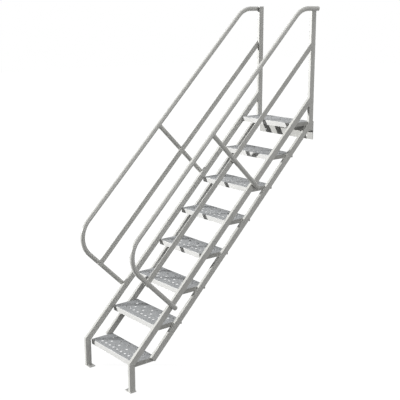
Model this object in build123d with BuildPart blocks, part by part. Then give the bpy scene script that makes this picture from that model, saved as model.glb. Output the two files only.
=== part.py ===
"""Industrial stair with eight perforated treads between twin tube stringers, and a handrail on each side.

The frame: +X runs up the stair towards the landing, +Y to the left of someone climbing, +Z up.
The origin is at the centre of the landing plate's rear face, which bolts to the landing's edge.
Lengths are in millimetres.
"""

import os
from math import cos, radians, sin

from build123d import *

# Flight
step_count = 8
step_rise = 241.3
slope_angle = 45.0
clear_width = 609.6

# Rectangular tube of the stringers, legs and posts
tube_depth = 50.8
tube_width = 25.4
tube_wall = 3.0

# Where the flight stands on the floor
mitre_height = 240.0
stringer_gap = 100.0
rear_stringer_start = 138.0

# Landing plate, its top level with the last tread
plate_thickness = 6.35
plate_height = 158.0
landing_hole_diameter = 14.3
landing_hole_spacing_y = 508.0
landing_hole_spacing_z = 101.6

# Feet
foot_length = 54.0
foot_width = 80.0
foot_overhang = 6.35
foot_thickness = 6.35
anchor_hole_diameter = 14.3

# Treads, folded from sheet
tread_depth = 245.0
tread_sheet = 3.0
tread_flange = 41.0
tread_first_height = 224.0
nosing_reach = 37.5
bend_radius = 6.0
first_tread_trim = 19.0
last_tread_forward = 28.8
last_tread_lift = 11.9
end_plate_thickness = 3.2
end_plate_height = 35.0
end_plate_corner = 3.5

# Holes in the treads, with few sides to keep their facets few
hole_pitch = 54.0
hole_radius = 9.3
hole_sides = 10
front_row_holes = 9
middle_row_holes = 4
rear_row_holes = 5

# Handrails, struts and midrails
rail_diameter = 38.1
rail_height = 625.0
rail_bend = 200.0
rail_return_start = 553.0
rail_return_below = 57.0
rail_level_run = 200.0
strut_start = 1757.0
strut_below = 115.0
midrail_depth = 44.45
midrail_thickness = 6.35
midrail_height = 323.0
cope_gap = 0.3

# Worked out from the sizes above
slope = radians(slope_angle)
step_run = step_rise / (sin(slope) / cos(slope))
rail_radius = rail_diameter / 2
inner_y = clear_width / 2
outer_y = inner_y + tube_width
tube_centre_y = inner_y + tube_width / 2
rail_y = outer_y + rail_radius
post_rear_reach = nosing_reach + tread_depth + (step_count - 1) * step_run - last_tread_forward
post_front_reach = post_rear_reach - tube_depth
landing_height = tread_first_height + (step_count - 1) * step_rise + last_tread_lift
plate_rear_reach = post_rear_reach + plate_thickness
plate_centre_height = landing_height - plate_height / 2
tread_half_width = inner_y - end_plate_thickness
rear_stringer_offset = tube_depth + stringer_gap

# Points of the side view, from the leg's front face and the floor to the part's frame
leg_front_x = -plate_rear_reach
floor_z = -plate_centre_height
post_front_x = leg_front_x + post_front_reach
post_rear_x = leg_front_x + post_rear_reach
slope_start = Vector(leg_front_x, 0, floor_z + mitre_height)
up_slope = Vector(cos(slope), 0, sin(slope))
off_slope = Vector(-sin(slope), 0, cos(slope))
over_length = 2 * post_front_reach


def on_slope(along, above, y=0.0):
    """A point by its distance up the slope and its height square to it, from the front stringer's upper edge."""
    return slope_start + up_slope * along + off_slope * above + Vector(0, y, 0)


def write(name, piece):
    """Label a finished piece and write its file."""
    piece.label = name
    export_step(piece, f"parts/{name}.step")


def tube_profile():
    """Hollow rectangular tube, its depth along the sketch's X."""
    Rectangle(tube_depth, tube_width)
    Rectangle(tube_depth - 2 * tube_wall, tube_width - 2 * tube_wall, mode=Mode.SUBTRACT)


def slope_plane(start):
    """Plane square to the slope, for what runs up it."""
    return Plane(origin=tuple(start), x_dir=tuple(off_slope), z_dir=tuple(up_slope))


def row_of_holes(centre_x, spacing, count):
    """One row of tread holes, side by side along Y."""
    with Locations((centre_x, 0)):
        with GridLocations(spacing, spacing, 1, count):
            RegularPolygon(hole_radius, hole_sides)


os.makedirs("parts", exist_ok=True)

mitre_plane = Plane(
    origin=tuple(slope_start),
    x_dir=(0, 1, 0),
    z_dir=(sin((radians(90) - slope) / 2), 0, cos((radians(90) - slope) / 2)),
)
post_front_plane = Plane(origin=(post_front_x, 0, 0), x_dir=(0, 1, 0), z_dir=(1, 0, 0))

slope_rise = sin(slope) / cos(slope)
post_bottom_z = slope_start.Z + post_front_reach * slope_rise - (rear_stringer_offset + tube_depth) / cos(slope)
rail_corner_along = (post_rear_reach - rail_level_run + rail_height * sin(slope)) / cos(slope)
rail_top_z = on_slope(rail_corner_along, rail_height).Z
foot_centre_y = outer_y + foot_overhang - foot_width / 2
anchor_y = (inner_y + outer_y + foot_overhang - foot_width) / 2

for side, sign in (("left", 1), ("right", -1)):
    tube_y = sign * tube_centre_y
    side_rail_y = sign * rail_y

    # Stringers
    with BuildPart() as front_stringer:
        with BuildSketch(slope_plane(on_slope(-tube_depth, -tube_depth / 2, tube_y))):
            tube_profile()
        extrude(amount=over_length)
        split(bisect_by=mitre_plane, keep=Keep.TOP)
        split(bisect_by=post_front_plane, keep=Keep.BOTTOM)
    write(f"{side}_front_stringer", front_stringer.part)

    with BuildPart() as rear_stringer:
        with BuildSketch(slope_plane(on_slope(rear_stringer_start, -rear_stringer_offset - tube_depth / 2, tube_y))):
            tube_profile()
        extrude(amount=over_length)
        split(bisect_by=post_front_plane, keep=Keep.BOTTOM)
    write(f"{side}_rear_stringer", rear_stringer.part)

    # Leg and foot
    with BuildPart() as leg:
        with BuildSketch(Plane.XY.offset(floor_z + foot_thickness)):
            with Locations((leg_front_x + tube_depth / 2, tube_y)):
                tube_profile()
        extrude(amount=mitre_height + tube_depth)
        split(bisect_by=mitre_plane, keep=Keep.BOTTOM)
    write(f"{side}_leg", leg.part)

    with BuildPart() as foot_plate:
        with BuildSketch(Plane.XY.offset(floor_z)):
            with Locations((leg_front_x + foot_length / 2, sign * foot_centre_y)):
                Rectangle(foot_length, foot_width)
            with Locations((leg_front_x + foot_length / 2, sign * anchor_y)):
                Circle(anchor_hole_diameter / 2, mode=Mode.SUBTRACT)
        extrude(amount=foot_thickness)
    write(f"{side}_foot_plate", foot_plate.part)

    # Top post
    with BuildPart() as top_post:
        with BuildSketch(Plane.XY.offset(post_bottom_z)):
            with Locations((post_front_x + tube_depth / 2, tube_y)):
                tube_profile()
        extrude(amount=rail_top_z + rail_radius - post_bottom_z)
    write(f"{side}_top_post", top_post.part)

    # Handrail, bent from one round tube with closed ends
    with BuildPart() as handrail:
        with BuildLine() as rail_path:
            FilletPolyline(
                tuple(on_slope(rail_return_start, -rail_return_below, side_rail_y)),
                tuple(on_slope(rail_return_start, rail_height, side_rail_y)),
                tuple(on_slope(rail_corner_along, rail_height, side_rail_y)),
                (post_rear_x, side_rail_y, rail_top_z),
                radius=rail_bend,
            )
        with BuildSketch(Plane(origin=rail_path.line @ 0, z_dir=rail_path.line % 0)):
            Circle(rail_radius)
        sweep()
    write(f"{side}_handrail", handrail.part)

    # Strut, coped under the handrail
    with BuildPart() as rail_strut:
        with BuildSketch(Plane(origin=tuple(on_slope(strut_start, -strut_below, side_rail_y)), z_dir=tuple(off_slope))):
            Circle(rail_radius)
        extrude(amount=strut_below + rail_height)
        with BuildSketch(slope_plane(on_slope(strut_start - rail_diameter, rail_height, side_rail_y))):
            Circle(rail_radius + cope_gap)
        extrude(amount=2 * rail_diameter, mode=Mode.SUBTRACT)
    write(f"{side}_rail_strut", rail_strut.part)

    # Midrail, a flat bar in line with the tubes' outer faces
    with BuildPart() as midrail:
        with BuildSketch(
            slope_plane(
                on_slope(
                    rail_return_start - rail_radius,
                    midrail_height - midrail_depth / 2,
                    sign * (outer_y - midrail_thickness / 2),
                )
            )
        ):
            Rectangle(midrail_depth, midrail_thickness)
        extrude(amount=over_length)
        split(bisect_by=post_front_plane, keep=Keep.BOTTOM)
    write(f"{side}_midrail", midrail.part)

# Landing plate
with BuildPart() as landing_plate:
    with BuildSketch(Plane.YZ.offset(-plate_thickness)):
        Rectangle(2 * outer_y, plate_height)
        with GridLocations(landing_hole_spacing_y, landing_hole_spacing_z, 2, 2):
            Circle(landing_hole_diameter / 2, mode=Mode.SUBTRACT)
    extrude(amount=plate_thickness)
write("landing_plate", landing_plate.part)

# Treads, each a sheet folded down at front and rear between two end plates
for step in range(1, step_count + 1):
    depth = tread_depth
    centre_x = leg_front_x + nosing_reach + tread_depth / 2 + (step - 1) * step_run
    top_z = floor_z + tread_first_height + (step - 1) * step_rise
    if step == 1:
        depth -= 2 * first_tread_trim
    if step == step_count:
        centre_x = post_rear_x - tread_depth / 2
        top_z = floor_z + landing_height

    with BuildPart() as tread:
        with BuildSketch(Plane.XZ.offset(tread_half_width)):
            with Locations((centre_x, top_z - tread_flange)):
                RectangleRounded(depth, 2 * tread_flange, bend_radius)
                RectangleRounded(
                    depth - 2 * tread_sheet,
                    2 * (tread_flange - tread_sheet),
                    bend_radius - tread_sheet,
                    mode=Mode.SUBTRACT,
                )
                Rectangle(depth, tread_flange, align=(Align.CENTER, Align.MAX), mode=Mode.SUBTRACT)
        extrude(amount=-2 * tread_half_width)
        with BuildSketch(Plane.XY.offset(top_z)):
            row_of_holes(centre_x - hole_pitch, hole_pitch, front_row_holes)
            row_of_holes(centre_x, 2 * hole_pitch, middle_row_holes)
            row_of_holes(centre_x + hole_pitch, 2 * hole_pitch, rear_row_holes)
        extrude(amount=-2 * tread_sheet, mode=Mode.SUBTRACT)
    write(f"tread_{step}", tread.part)

    for side, sign in (("left", 1), ("right", -1)):
        with BuildPart() as end_plate:
            with BuildSketch(Plane.XZ.offset(-sign * (inner_y - end_plate_thickness / 2))) as end_outline:
                with Locations((centre_x, top_z)):
                    Rectangle(depth, end_plate_height, align=(Align.CENTER, Align.MAX))
                chamfer(end_outline.vertices().sort_by(Axis.Z)[-2:], end_plate_corner)
            extrude(amount=end_plate_thickness / 2, both=True)
        write(f"tread_{step}_{side}_end", end_plate.part)
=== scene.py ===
import math

import bmesh
import bpy
from mathutils import Matrix, Vector


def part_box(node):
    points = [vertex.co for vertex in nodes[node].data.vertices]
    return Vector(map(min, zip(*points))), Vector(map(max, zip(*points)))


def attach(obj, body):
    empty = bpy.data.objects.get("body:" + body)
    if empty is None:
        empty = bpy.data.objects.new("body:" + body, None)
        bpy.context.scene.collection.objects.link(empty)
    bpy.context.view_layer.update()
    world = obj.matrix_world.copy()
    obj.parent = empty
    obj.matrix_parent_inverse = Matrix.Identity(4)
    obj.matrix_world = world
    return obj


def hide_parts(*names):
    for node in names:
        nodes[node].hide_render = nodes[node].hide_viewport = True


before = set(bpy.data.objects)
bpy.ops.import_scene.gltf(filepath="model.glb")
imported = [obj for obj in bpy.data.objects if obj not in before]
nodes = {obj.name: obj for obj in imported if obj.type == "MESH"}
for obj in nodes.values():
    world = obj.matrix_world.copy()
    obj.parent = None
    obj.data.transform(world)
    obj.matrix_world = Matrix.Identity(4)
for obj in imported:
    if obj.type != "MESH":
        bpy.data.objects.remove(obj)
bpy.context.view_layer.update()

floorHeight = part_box("left_foot_plate")[0].z
steps = range(1, 9)                           # the treads' numbers
upSlope = Vector((1, 0, 1)).normalized()      # along the stringers
offSlope = Vector((-1, 0, 1)).normalized()    # square to them, upwards
samePlace = 1e-6                              # metres, points closer than this are one
flatAngle = math.radians(0.5)                 # faces that turn less than this are one side
smoothAngle = math.radians(35)                # faces that turn less than this are shaded as one
print("stair: frame loaded,", len(nodes), "nodes")


def sideNames(kind):
    return [f"left_{kind}", f"right_{kind}"]


def camel(name):
    words = name.split("_")
    return words[0] + "".join(word.capitalize() for word in words[1:])


def mathNode(nodeTree, operation, *given):
    # A math node fed by sockets or plain numbers, which gives back its output socket
    node = nodeTree.nodes.new("ShaderNodeMath")
    node.operation = operation
    for socket, value in zip(node.inputs, given):
        if isinstance(value, bpy.types.NodeSocket):
            nodeTree.links.new(value, socket)
        else:
            socket.default_value = value
    return node.outputs["Value"]


def mixedColor(nodeTree, factor, first, second):
    mix = nodeTree.nodes.new("ShaderNodeMix")
    mix.data_type = "RGBA"
    nodeTree.links.new(factor, mix.inputs["Factor"])
    nodeTree.links.new(first, mix.inputs["A"])
    nodeTree.links.new(second, mix.inputs["B"])
    return mix.outputs["Result"]


def stretched(nodeTree, value, low, high):
    # 0 to 1 as a value goes from low to high
    ramp = nodeTree.nodes.new("ShaderNodeMapRange")
    ramp.inputs["From Min"].default_value = low
    ramp.inputs["From Max"].default_value = high
    nodeTree.links.new(value, ramp.inputs["Value"])
    return ramp.outputs["Result"]


coatLook = {
    "patchSize": 0.09,        # metres across one soft patch of tone
    "patchDetail": 5,
    "patchRoughness": 0.62,
    "patchRange": (0.32, 0.68),
    "grainSize": 0.0016,      # metres across one bump of the powder coat
    "grainDetail": 3,
    "grainDepth": 0.00004,
    "grainStrength": 0.6,
    "dustAndTopShadeRange": (0.55, 0.95),    # dust, and on the treads painted shade, starts and is whole at these upward slants
    "roughnessSpread": 0.08,
}

paintLook = {
    "framePaint": {
        "paint": (0.485, 0.484, 0.458), "lighter": (0.535, 0.533, 0.508),
        "dust": (0.54, 0.54, 0.53), "dustAndTopShadeAmount": 0.5, "roughness": 0.30,
    },
    "treadPaint": {
        "paint": (0.485, 0.484, 0.470), "lighter": (0.55, 0.548, 0.535),
        # on the treads the darker, bluer colour on what faces up is painted shade on the decks' tops
        "dust": (0.362, 0.376, 0.391), "dustAndTopShadeAmount": 1.6, "roughness": 0.62,
    },
    # painted shade: a darker paint for the plates that lie in shade under the stringers and the top
    # tread
    "platePaint": {
        "paint": (0.35, 0.349, 0.33), "lighter": (0.385, 0.384, 0.366),
        "dust": (0.54, 0.54, 0.53), "dustAndTopShadeAmount": 0.5, "roughness": 0.30,
    },
    "weldPaint": {
        "paint": (0.485, 0.484, 0.458), "lighter": (0.535, 0.533, 0.508),
        "dust": (0.54, 0.54, 0.53), "dustAndTopShadeAmount": 0.2, "roughness": 0.30,
    },
}


def buildPowderCoat():
    # One effect for all paint: soft patches of tone, dust on what faces up
    # (on the treads a darker painted shade there instead), and the fine grain of a powder coat
    look = coatLook
    group = bpy.data.node_groups.new("powderCoat", "ShaderNodeTree")
    for inOut, name, kind in (
        ("INPUT", "Place", "NodeSocketVector"),
        ("INPUT", "Paint", "NodeSocketColor"),
        ("INPUT", "Light Paint", "NodeSocketColor"),
        ("INPUT", "Dust", "NodeSocketColor"),
        ("INPUT", "Patch Scale", "NodeSocketFloat"),
        ("INPUT", "Grain Scale", "NodeSocketFloat"),
        ("INPUT", "Dust And Top Shade Amount", "NodeSocketFloat"),
        ("INPUT", "Roughness", "NodeSocketFloat"),
        ("INPUT", "Roughness Spread", "NodeSocketFloat"),
        ("OUTPUT", "Color", "NodeSocketColor"),
        ("OUTPUT", "Roughness", "NodeSocketFloat"),
        ("OUTPUT", "Height", "NodeSocketFloat"),
    ):
        group.interface.new_socket(name=name, in_out=inOut, socket_type=kind)
    tree, link = group.nodes, group.links.new
    given = tree.new("NodeGroupInput").outputs
    result = tree.new("NodeGroupOutput").inputs

    patch = tree.new("ShaderNodeTexNoise")
    patch.inputs["Detail"].default_value = look["patchDetail"]
    patch.inputs["Roughness"].default_value = look["patchRoughness"]
    link(given["Place"], patch.inputs["Vector"])
    link(given["Patch Scale"], patch.inputs["Scale"])
    patches = stretched(group, patch.outputs["Fac"], *look["patchRange"])

    grain = tree.new("ShaderNodeTexNoise")
    grain.inputs["Detail"].default_value = look["grainDetail"]
    link(given["Place"], grain.inputs["Vector"])
    link(given["Grain Scale"], grain.inputs["Scale"])

    # Dust, and on the treads painted shade, lies where the surface faces up, broken up by the grain
    facing = tree.new("ShaderNodeNewGeometry")
    facingParts = tree.new("ShaderNodeSeparateXYZ")
    link(facing.outputs["True Normal"], facingParts.inputs["Vector"])
    upward = stretched(group, facingParts.outputs["Z"], *look["dustAndTopShadeRange"])
    speckle = mathNode(group, "MULTIPLY", upward, grain.outputs["Fac"])
    dustAndTopShadeShare = mathNode(group, "MULTIPLY", speckle, given["Dust And Top Shade Amount"])

    painted = mixedColor(group, patches, given["Paint"], given["Light Paint"])
    rough = mathNode(group, "MULTIPLY_ADD", patches, given["Roughness Spread"], given["Roughness"])
    link(mixedColor(group, dustAndTopShadeShare, painted, given["Dust"]), result["Color"])
    link(rough, result["Roughness"])
    link(grain.outputs["Fac"], result["Height"])
    return group


powderCoat = buildPowderCoat()


def paintMaterial(name):
    look = paintLook[name]
    material = bpy.data.materials.new(name)
    material.use_nodes = True
    tree = material.node_tree.nodes
    link = material.node_tree.links.new
    shader = tree["Principled BSDF"]
    place = tree.new("ShaderNodeTexCoord")
    coat = tree.new("ShaderNodeGroup")
    coat.node_tree = powderCoat
    coat.inputs["Paint"].default_value = (*look["paint"], 1)
    coat.inputs["Light Paint"].default_value = (*look["lighter"], 1)
    coat.inputs["Dust"].default_value = (*look["dust"], 1)
    coat.inputs["Patch Scale"].default_value = 1 / coatLook["patchSize"]
    coat.inputs["Grain Scale"].default_value = 1 / coatLook["grainSize"]
    coat.inputs["Dust And Top Shade Amount"].default_value = look["dustAndTopShadeAmount"]
    coat.inputs["Roughness"].default_value = look["roughness"]
    coat.inputs["Roughness Spread"].default_value = coatLook["roughnessSpread"]
    bump = tree.new("ShaderNodeBump")
    bump.inputs["Strength"].default_value = coatLook["grainStrength"]
    bump.inputs["Distance"].default_value = coatLook["grainDepth"]
    link(place.outputs["Object"], coat.inputs["Place"])
    link(coat.outputs["Color"], shader.inputs["Base Color"])
    link(coat.outputs["Roughness"], shader.inputs["Roughness"])
    link(coat.outputs["Height"], bump.inputs["Height"])
    link(bump.outputs["Normal"], shader.inputs["Normal"])
    return material


framePaint = paintMaterial("framePaint")
treadPaint = paintMaterial("treadPaint")
platePaint = paintMaterial("platePaint")
weldPaint = paintMaterial("weldPaint")
for node in nodes.values():
    node.data.materials.clear()
    node.data.materials.append(framePaint)
print("stair: paints built")


def toMesh(bm, name):
    mesh = bpy.data.meshes.new(name)
    bm.to_mesh(mesh)
    bm.free()
    return mesh


def looseCopy(nodeName):
    # A bmesh of a CAD node, its separate triangles joined
    bm = bmesh.new()
    bm.from_mesh(nodes[nodeName].data)
    bmesh.ops.remove_doubles(bm, verts=bm.verts[:], dist=samePlace)
    return bm


def mergedCopy(nodeName):
    # The same, with each flat side made one face
    bm = looseCopy(nodeName)
    bmesh.ops.dissolve_limit(bm, angle_limit=flatAngle, verts=bm.verts[:], edges=bm.edges[:])
    return bm


def sharpEdges(bm, angle):
    # The outward edges that turn more than so many degrees
    return [
        edge for edge in bm.edges
        if edge.is_manifold and edge.is_convex and edge.calc_face_angle(0) > math.radians(angle)
    ]


def bevelEdges(bm, edges, radius, segments):
    bmesh.ops.bevel(
        bm, geom=edges, offset=radius, segments=segments,
        profile=0.5, affect="EDGES", material=-1,
    )


def finishPiece(mesh, name, material, stands=(), evenShading=True):
    # Turns a finished mesh, in place in the row frame, into a piece that rides with the stair
    mesh.name = name
    for carried in ("custom_normal", "sharp_edge", "sharp_face"):
        if carried in mesh.attributes:
            mesh.attributes.remove(mesh.attributes[carried])
    mesh.materials.clear()
    mesh.materials.append(material)
    mesh.polygons.foreach_set("use_smooth", [True] * len(mesh.polygons))
    mesh.set_sharp_from_angle(angle=smoothAngle)
    piece = bpy.data.objects.new(name, mesh)
    bpy.context.scene.collection.objects.link(piece)
    if evenShading:
        weights = piece.modifiers.new("evenShading", "WEIGHTED_NORMAL")
        weights.mode = "FACE_AREA"
        weights.keep_sharp = True
    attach(piece, "root")
    if stands:
        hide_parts(*stands)


def finishNode(bm, nodeName, material, evenShading=True):
    # The same for a worked copy of a CAD node, which stands for that node
    mesh = toMesh(bm, nodeName)
    finishPiece(mesh, camel(nodeName), material, [nodeName], evenShading=evenShading)


# Rectangular tubes: stringers, legs and posts
tubeLook = {
    "cornerRadius": 0.0022,
    "cornerSegments": 3,
    "cornerAngle": 60,        # corners turn more than this many degrees
    "shortestRun": 0.08,      # only edges longer than this run along a tube
}

for kind in ("front_stringer", "rear_stringer", "leg", "top_post"):
    for nodeName in sideNames(kind):
        bm = mergedCopy(nodeName)
        corners = [
            edge for edge in sharpEdges(bm, tubeLook["cornerAngle"])
            if edge.calc_length() > tubeLook["shortestRun"]
        ]
        bevelEdges(bm, corners, tubeLook["cornerRadius"], tubeLook["cornerSegments"])
        finishNode(bm, nodeName, framePaint)
print("stair: rectangular tubes rounded")


# Round tubes: handrails with softened ends, and struts
roundLook = {
    "rimRadius": 0.004,
    "rimSegments": 3,
    "rimAngle": 60,           # rims turn more than this many degrees
    "strutTrim": 0.043,       # how far a strut's lower end is drawn up
    "endDepth": 0.001,        # points this near the lower end belong to it
}

for nodeName in sideNames("handrail"):
    bm = looseCopy(nodeName)
    rims = sharpEdges(bm, roundLook["rimAngle"])
    bevelEdges(bm, rims, roundLook["rimRadius"], roundLook["rimSegments"])
    finishNode(bm, nodeName, framePaint, evenShading=False)

for nodeName in sideNames("rail_strut"):
    bm = looseCopy(nodeName)
    lowest = min(vert.co @ offSlope for vert in bm.verts)
    end = [vert for vert in bm.verts if vert.co @ offSlope < lowest + roundLook["endDepth"]]
    bmesh.ops.translate(bm, vec=offSlope * roundLook["strutTrim"], verts=end)
    finishNode(bm, nodeName, framePaint, evenShading=False)
print("stair: round tubes smoothed")


plateLook = {
    "edgeRadius": 0.0006,     # worn off the sheared edges
    "edgeSegments": 2,
    "edgeAngle": 40,          # sheared edges turn more than this many degrees
}

framePlates = sideNames("foot_plate") + sideNames("midrail")
# the end plates and the landing plate get the darker paint, which is painted shade
paintedShadePlates = ["landing_plate"]
for step in steps:
    paintedShadePlates += [f"tread_{step}_left_end", f"tread_{step}_right_end"]

for nodeName in framePlates + paintedShadePlates:
    bm = mergedCopy(nodeName)
    sheared = sharpEdges(bm, plateLook["edgeAngle"])
    bevelEdges(bm, sheared, plateLook["edgeRadius"], plateLook["edgeSegments"])
    finishNode(bm, nodeName, framePaint if nodeName in framePlates else platePaint)
print("stair: plates and bars finished,", len(framePlates + paintedShadePlates))


weldLook = {
    "radius": 0.0026,
    "seamRadius": 0.0014,     # the low bead left where a seam is ground
    "ripple": 0.0045,         # metres from one ripple to the next
    "rippleDepth": 0.13,
    "sides": 8,
    "endWidth": 0.7,          # a bead's rounded ends, in its radii
    "endShoulder": 0.25,
    "endTip": 0.5,
    "mitreShare": 0.94,       # how much of the mitre is seen welded, from its lower end
    "copeSteps": 16,
    "copeInset": 1.3,         # in bead radii, how far a cope's bead stays inside the rail's outer side
    "contactReach": 0.0068,   # from a round tube's line of contact to the bead beside it
    "contactRise": 0.0016,
    "shortestSeam": 0.004,
}


def addBead(beads, start, end, radius):
    # One rippled bead, spun about its own line and then laid from start to end
    look = weldLook
    length = (end - start).length
    count = 2 * max(2, round(length / look["ripple"]))
    heights = [length * k / count for k in range(count + 1)]
    rings = [radius * (1 + look["rippleDepth"] * (-1) ** k) for k in range(count + 1)]
    width, shoulder, tip = (radius * look[part] for part in ("endWidth", "endShoulder", "endTip"))
    profile = [
        (0.0, -tip), (width, -shoulder), *zip(rings, heights),
        (width, length + shoulder), (0.0, length + tip),
    ]
    bm = bmesh.new()
    verts = [bm.verts.new((r, 0, z)) for r, z in profile]
    edges = [bm.edges.new(pair) for pair in zip(verts, verts[1:])]
    bmesh.ops.spin(
        bm, geom=verts + edges, cent=(0, 0, 0), axis=(0, 0, 1),
        angle=2 * math.pi, steps=look["sides"], use_merge=True,
    )
    bmesh.ops.remove_doubles(bm, verts=bm.verts[:], dist=samePlace)
    bmesh.ops.recalc_face_normals(bm, faces=bm.faces)
    turned = (end - start).to_track_quat("Z", "Y").to_matrix().to_4x4()
    bmesh.ops.transform(bm, matrix=Matrix.Translation(start) @ turned, verts=bm.verts)
    spare = toMesh(bm, "bead")
    beads.from_mesh(spare)
    bpy.data.meshes.remove(spare)


def finishWelds(beads, name):
    finishPiece(toMesh(beads, name), name, weldPaint, evenShading=False)


def reach(nodeName, direction):
    # How far a node's points lie along a direction, least and most
    values = [vert.co @ direction for vert in nodes[nodeName].data.vertices]
    return min(values), max(values)


def clipToPlate(across, low, high):
    # Heights between which the line x - z = across lies over a plate seen from the side
    bottom = max(low.z, low.x - across)
    top = min(high.z, high.x - across)
    return (bottom, top) if top - bottom > weldLook["shortestSeam"] else None


for side, sign in (("left", 1), ("right", -1)):
    def span(node):
        # A node's lowest and highest corner, with y growing outwards on both sides
        low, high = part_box(f"{side}_{node}")
        if sign < 0:
            return Vector((low.x, -high.y, low.z)), Vector((high.x, -low.y, high.z))
        return low, high

    def place(x, y, z):
        return Vector((x, sign * y, z))

    legLow, legHigh = span("leg")
    frontLow, frontHigh = span("front_stringer")
    rearHigh = span("rear_stringer")[1]
    postLow, postHigh = span("top_post")
    railLow, railHigh = span("handrail")
    barLow, barHigh = span("midrail")
    plateLow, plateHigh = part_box("landing_plate")
    inner, outer = legLow.y, legHigh.y
    tubeRadius = (railHigh.y - railLow.y) / 2
    depth = legHigh.x - legLow.x
    cut = depth * math.sqrt(2)                    # height of a stringer's end on the post
    frontAcross = frontHigh.x - frontHigh.z       # x - z along each stringer's upper edge
    rearAcross = rearHigh.x - rearHigh.z
    bead, seam = weldLook["radius"], weldLook["seamRadius"]

    # Frame: the leg on its plate, the mitre, and what butts on the post
    beads = bmesh.new()
    footTop = legLow.z
    addBead(beads, place(legHigh.x, inner, footTop), place(legHigh.x, outer, footTop), bead)
    for y in (inner, outer):
        addBead(beads, place(legLow.x + bead, y, footTop), place(legHigh.x, y, footTop), bead)
    mitreLow = place(legHigh.x, 0, frontLow.z)
    mitreTop = mitreLow.lerp(place(legLow.x, 0, legHigh.z), weldLook["mitreShare"])
    for y in (inner, outer):
        addBead(beads, mitreTop + place(0, y, 0), mitreLow + place(0, y, 0), seam)
    for top in (frontHigh.z, rearHigh.z):
        for y, radius in ((inner, bead), (outer, seam)):
            addBead(beads, place(postLow.x, y, top - cut), place(postLow.x, y, top), radius)
        for height in (top, top - cut):
            addBead(beads, place(postLow.x, inner, height), place(postLow.x, outer, height), bead)
    for y in (inner, outer):
        addBead(beads, place(plateLow.x, y, postLow.z), place(plateLow.x, y, plateHigh.z), bead)
    finishWelds(beads, f"{side}FrameWelds")

    # Rails: where the round tubes lie against the flat faces, where the bars end, and the struts' copes
    beads = bmesh.new()
    returnAlong = reach(f"{side}_handrail", upSlope)[0] + tubeRadius
    strutAlong = sum(reach(f"{side}_rail_strut", upSlope)) / 2
    edgeAbove = reach(f"{side}_front_stringer", offSlope)[1]
    railAbove = reach(f"{side}_handrail", offSlope)[1] - tubeRadius
    barLowest, barHighest = reach(f"{side}_midrail", offSlope)
    barAbove, barHalf = (barLowest + barHighest) / 2, (barHighest - barLowest) / 2
    sideStep = weldLook["contactReach"]
    contact = place(0, outer + weldLook["contactRise"], 0)
    for along in (returnAlong, strutAlong):
        for centre, half in ((edgeAbove - depth / 2, depth / 2), (barAbove, barHalf)):
            for beside in (along - sideStep, along + sideStep):
                start, end = (
                    upSlope * beside + offSlope * (centre + up) + contact for up in (-half, half)
                )
                addBead(beads, start, end, bead)
    for height in (railHigh.z - tubeRadius - sideStep, railHigh.z - tubeRadius + sideStep):
        start, end = (place(x, 0, height) + contact for x in (postLow.x, postHigh.x))
        addBead(beads, start, end, bead)
    for y, radius in ((barLow.y, bead), (barHigh.y, seam)):
        barBottom = barHigh.z - 2 * barHalf * math.sqrt(2)
        addBead(beads, place(postLow.x, y, barBottom), place(postLow.x, y, barHigh.z), radius)
    cope = []
    for k in range(weldLook["copeSteps"] + 1):
        around = 2 * math.pi * k / weldLook["copeSteps"]
        along = strutAlong + tubeRadius * math.cos(around)
        above = railAbove - tubeRadius * abs(math.cos(around))
        out = min(tubeRadius * (1 + math.sin(around)), 2 * tubeRadius - weldLook["copeInset"] * bead)
        cope.append(upSlope * along + offSlope * above + place(0, outer + out, 0))
    for start, end in zip(cope, cope[1:]):
        addBead(beads, start, end, bead)
    finishWelds(beads, f"{side}RailWelds")

    # Treads: the stringers' edges on the end plates
    beads = bmesh.new()
    for step in steps:
        low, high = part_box(f"tread_{step}_{side}_end")
        for across in (frontAcross + cut, rearAcross, rearAcross + cut):
            run = clipToPlate(across, low, high)
            if run:
                start, end = (place(height + across, inner, height) for height in run)
                addBead(beads, start, end, seam)
    finishWelds(beads, f"{side}TreadWelds")
print("stair: welds laid")


treadLook = {
    "sheet": 0.0019,
    "flange": 0.041,
    "bendRadius": 0.006,
    "bendSegments": 5,
    "pitch": 0.054,
    "largeRadius": 0.0093,
    "largeSteps": 20,
    "smallRadius": 0.0035,
    "rearRadius": 0.006,
    "smallSteps": 12,
    "rearRow": 0.088,         # from the tread's centre back to the row along the rear
    "overlap": 0.0001,        # how far a hole's edge reaches over the sheet round it
    # a small hole's raised ring, its section outwards in widths and upwards in rises
    "buttonWidth": 0.0028,
    "buttonRise": 0.0009,
    "buttonSection": ((1, 0), (0.75, 0.35), (0.35, 1), (0.1, 0.9), (0, 0.6)),
    # the other holes' edge, its section outwards in lips and downwards in drops
    "lip": 0.0012,
    "edgeDrop": 0.0003,
    "lipSection": ((1.5, 0), (0.5, 0), (0.15, 0.35), (0, 1)),
    "shearDepth": 0.0012,     # below this the punched wall breaks away outwards
    "breakOut": 1.2,          # how far outwards, in lips
}


def treadHoles():
    # (x, y, radius, sides) of each hole, from the tread's centre
    look = treadLook
    pitch = look["pitch"]
    large, small, rear = look["largeRadius"], look["smallRadius"], look["rearRadius"]
    rows = (
        # x of the row, y of its first hole and its spacing in pitches, number of holes, radius
        (-pitch, -4, 1, 9, large),
        (0.0, -3, 2, 4, large),
        (pitch, -4, 2, 5, large),
        (-1.5 * pitch, -4.5, 1, 10, small),
        (-0.5 * pitch, -4.5, 1, 10, small),
        (0.5 * pitch, -4.4, 2, 5, small),
        (look["rearRow"], -4.5, 1, 10, rear),
    )
    holes = []
    for x, first, spacing, count, radius in rows:
        sides = look["largeSteps"] if radius == large else look["smallSteps"]
        holes += [(x, first * pitch + spacing * pitch * k, radius, sides) for k in range(count)]
    return holes


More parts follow.
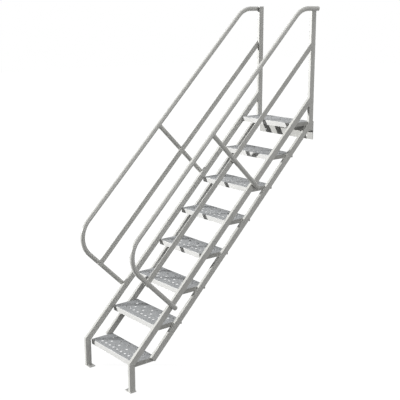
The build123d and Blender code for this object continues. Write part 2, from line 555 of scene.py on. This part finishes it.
def edgeProfile(radius):
    # Section through the edge of a hole: a small one is a raised button, the others are punched plain
    look = treadLook
    sheet, lip = look["sheet"], look["lip"]
    if radius == look["smallRadius"]:
        width, rise = look["buttonWidth"], look["buttonRise"]
        top = [(radius + out * width, up * rise) for out, up in look["buttonSection"]]
        wall = [(radius, -sheet)]
    else:
        top = [(radius + out * lip, -down * look["edgeDrop"]) for out, down in look["lipSection"]]
        wall = [(radius, -look["shearDepth"]), (radius + look["breakOut"] * lip, -sheet)]
    return top + wall + [(top[0][0], -sheet)]


def edgeReach(radius):
    # How far from a hole's centre its formed edge reaches
    return edgeProfile(radius)[0][0]


def addEdge(bm, x, y, radius, sides):
    # The edge round one hole, spun from its section
    centre = Vector((x, y, 0))
    verts = [bm.verts.new(centre + Vector((r, 0, z))) for r, z in edgeProfile(radius)]
    edges = [bm.edges.new(pair) for pair in zip(verts, verts[1:] + verts[:1])]
    bmesh.ops.spin(
        bm, geom=verts + edges, cent=centre, axis=(0, 0, 1),
        angle=2 * math.pi, steps=sides, use_merge=True,
    )


def drilled(channel, drill):
    # The channel's mesh with the drills cut out, both objects used up
    for spare in (channel, drill):
        bpy.context.scene.collection.objects.link(spare)
    cut = channel.modifiers.new("holes", "BOOLEAN")
    cut.operation = "DIFFERENCE"
    cut.solver = "EXACT"
    cut.object = drill
    bpy.context.view_layer.update()
    mesh = bpy.data.meshes.new_from_object(channel.evaluated_get(bpy.context.evaluated_depsgraph_get()))
    for spare in (channel, drill):
        bpy.data.objects.remove(spare)
    return mesh


def buildTread(depth, width):
    # A folded channel with its holes, about the centre of its top
    look = treadLook
    bm = bmesh.new()
    bmesh.ops.create_grid(bm, x_segments=1, y_segments=1, size=0.5)
    bmesh.ops.scale(bm, vec=(depth, width, 1), verts=bm.verts)
    folds = [edge for edge in bm.edges if abs(edge.verts[0].co.x - edge.verts[1].co.x) < samePlace]
    flanges = bmesh.ops.extrude_edge_only(bm, edges=folds)["geom"]
    flangeEnds = [part for part in flanges if isinstance(part, bmesh.types.BMVert)]
    bmesh.ops.translate(bm, vec=(0, 0, -look["flange"]), verts=flangeEnds)
    bevelEdges(bm, folds, look["bendRadius"], look["bendSegments"])
    bmesh.ops.recalc_face_normals(bm, faces=bm.faces)
    deck = max(bm.faces, key=lambda face: face.calc_area())
    if deck.normal.z < 0:
        bmesh.ops.reverse_faces(bm, faces=bm.faces)
    bmesh.ops.solidify(bm, geom=bm.faces[:], thickness=look["sheet"])
    channel = bpy.data.objects.new("channel", toMesh(bm, "channel"))

    bm = bmesh.new()
    for x, y, radius, sides in treadHoles():
        drillRadius = edgeReach(radius) - look["overlap"]
        bmesh.ops.create_cone(
            bm, cap_ends=True, segments=sides, radius1=drillRadius, radius2=drillRadius,
            depth=4 * look["sheet"], matrix=Matrix.Translation((x, y, -look["sheet"] / 2)),
        )
    drill = bpy.data.objects.new("drill", toMesh(bm, "drill"))

    sheet = drilled(channel, drill)
    bm = bmesh.new()
    bm.from_mesh(sheet)
    bpy.data.meshes.remove(sheet)
    for hole in treadHoles():
        addEdge(bm, *hole)
    bmesh.ops.recalc_face_normals(bm, faces=bm.faces)
    return toMesh(bm, "tread")


treadMeshes = {}
for step in steps:
    nodeName = f"tread_{step}"
    low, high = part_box(nodeName)
    size = (round(high.x - low.x, 4), round(high.y - low.y, 4))
    if size not in treadMeshes:
        treadMeshes[size] = buildTread(*size)
    mesh = treadMeshes[size].copy()
    mesh.transform(Matrix.Translation(((low.x + high.x) / 2, 0, high.z)))
    finishPiece(mesh, camel(nodeName), treadPaint, [nodeName])
    print(f"stair: tread {step} built, {len(mesh.polygons)} faces")


setLook = {
    "floorSize": 60.0,
    "floorDrop": 0.0005,      # just under the foot plates
    "floorColor": (0.10, 0.10, 0.10),
    "floorGlow": 0.97,
    "roomColor": (0.96, 0.98, 1.0),
    "roomLight": 0.05,
    "backdropColor": (1, 1, 1),
    "suns": {
        # direction that it comes from, strength, degrees across
        "keyLight": ((-0.757, 0.630, 0.174), 5.0, 0.6),
        "sideLight": ((0.0, -1.0, 0.12), 1.48, 40.0),
        "skyLight": ((0.0, 0.0, 1.0), 1.5, 60.0),
    },
}

bm = bmesh.new()
bmesh.ops.create_grid(bm, x_segments=1, y_segments=1, size=setLook["floorSize"] / 2)
bmesh.ops.translate(bm, vec=(0, 0, floorHeight - setLook["floorDrop"]), verts=bm.verts)
floor = bpy.data.objects.new("floor", toMesh(bm, "floor"))
bpy.context.scene.collection.objects.link(floor)


def seenDirectly(nodeTree):
    # 1 for the camera's own rays, for reflections and for what is seen through, 0 for light that bounces
    path = nodeTree.nodes.new("ShaderNodeLightPath").outputs
    seen = mathNode(nodeTree, "MAXIMUM", path["Is Camera Ray"], path["Is Glossy Ray"])
    return mathNode(nodeTree, "MAXIMUM", seen, path["Is Transmission Ray"])


paleFloor = bpy.data.materials.new("paleFloor")
paleFloor.use_nodes = True
tree, link = paleFloor.node_tree.nodes, paleFloor.node_tree.links.new
tree.clear()
matt = tree.new("ShaderNodeBsdfDiffuse")
matt.inputs["Color"].default_value = (*setLook["floorColor"], 1)
glow = tree.new("ShaderNodeEmission")
glow.inputs["Color"].default_value = (*setLook["backdropColor"], 1)
seen = seenDirectly(paleFloor.node_tree)
link(mathNode(paleFloor.node_tree, "MULTIPLY", seen, setLook["floorGlow"]), glow.inputs["Strength"])
both = tree.new("ShaderNodeAddShader")
link(matt.outputs["BSDF"], both.inputs[0])
link(glow.outputs["Emission"], both.inputs[1])
link(both.outputs["Shader"], tree.new("ShaderNodeOutputMaterial").inputs["Surface"])
floor.data.materials.append(paleFloor)

world = bpy.data.worlds.new("paleRoom")
world.use_nodes = True
bpy.context.scene.world = world
tree, link = world.node_tree.nodes, world.node_tree.links.new
tree.clear()
room = tree.new("ShaderNodeBackground")
room.inputs["Color"].default_value = (*setLook["roomColor"], 1)
room.inputs["Strength"].default_value = setLook["roomLight"]
backdrop = tree.new("ShaderNodeBackground")
backdrop.inputs["Color"].default_value = (*setLook["backdropColor"], 1)
choose = tree.new("ShaderNodeMixShader")
link(seenDirectly(world.node_tree), choose.inputs["Fac"])
link(room.outputs["Background"], choose.inputs[1])
link(backdrop.outputs["Background"], choose.inputs[2])
link(choose.outputs["Shader"], tree.new("ShaderNodeOutputWorld").inputs["Surface"])

for name, (comesFrom, strength, angle) in setLook["suns"].items():
    lamp = bpy.data.lights.new(name, "SUN")
    lamp.energy = strength
    lamp.angle = math.radians(angle)
    sun = bpy.data.objects.new(name, lamp)
    sun.rotation_euler = Vector(comesFrom).to_track_quat("Z", "Y").to_euler()
    bpy.context.scene.collection.objects.link(sun)


cameraLook = {
    "place": (-5.1004, -5.0632, 1.01385),
    "turn": 39.072,           # degrees from +Y towards +X
    "tilt": 13.300,           # degrees down
    "roll": 0.082,
    "lens": 72.51,
    "sensor": 36.0,
    "farthest": 200,          # metres that the camera sees
}

turn, tilt, roll = (math.radians(cameraLook[part]) for part in ("turn", "tilt", "roll"))
looksAlong = Vector((math.sin(turn) * math.cos(tilt), math.cos(turn) * math.cos(tilt), -math.sin(tilt)))
lens = bpy.data.cameras.new("camera")
lens.lens = cameraLook["lens"]
lens.sensor_width = cameraLook["sensor"]
lens.clip_end = cameraLook["farthest"]
camera = bpy.data.objects.new("camera", lens)
rolled = Matrix.Rotation(roll, 3, looksAlong) @ looksAlong.to_track_quat("-Z", "Y").to_matrix()
camera.rotation_euler = rolled.to_euler()
camera.location = cameraLook["place"]
bpy.context.scene.collection.objects.link(camera)
bpy.context.scene.camera = camera
bpy.context.scene.view_settings.view_transform = "Standard"
print("stair: floor, light and camera set")
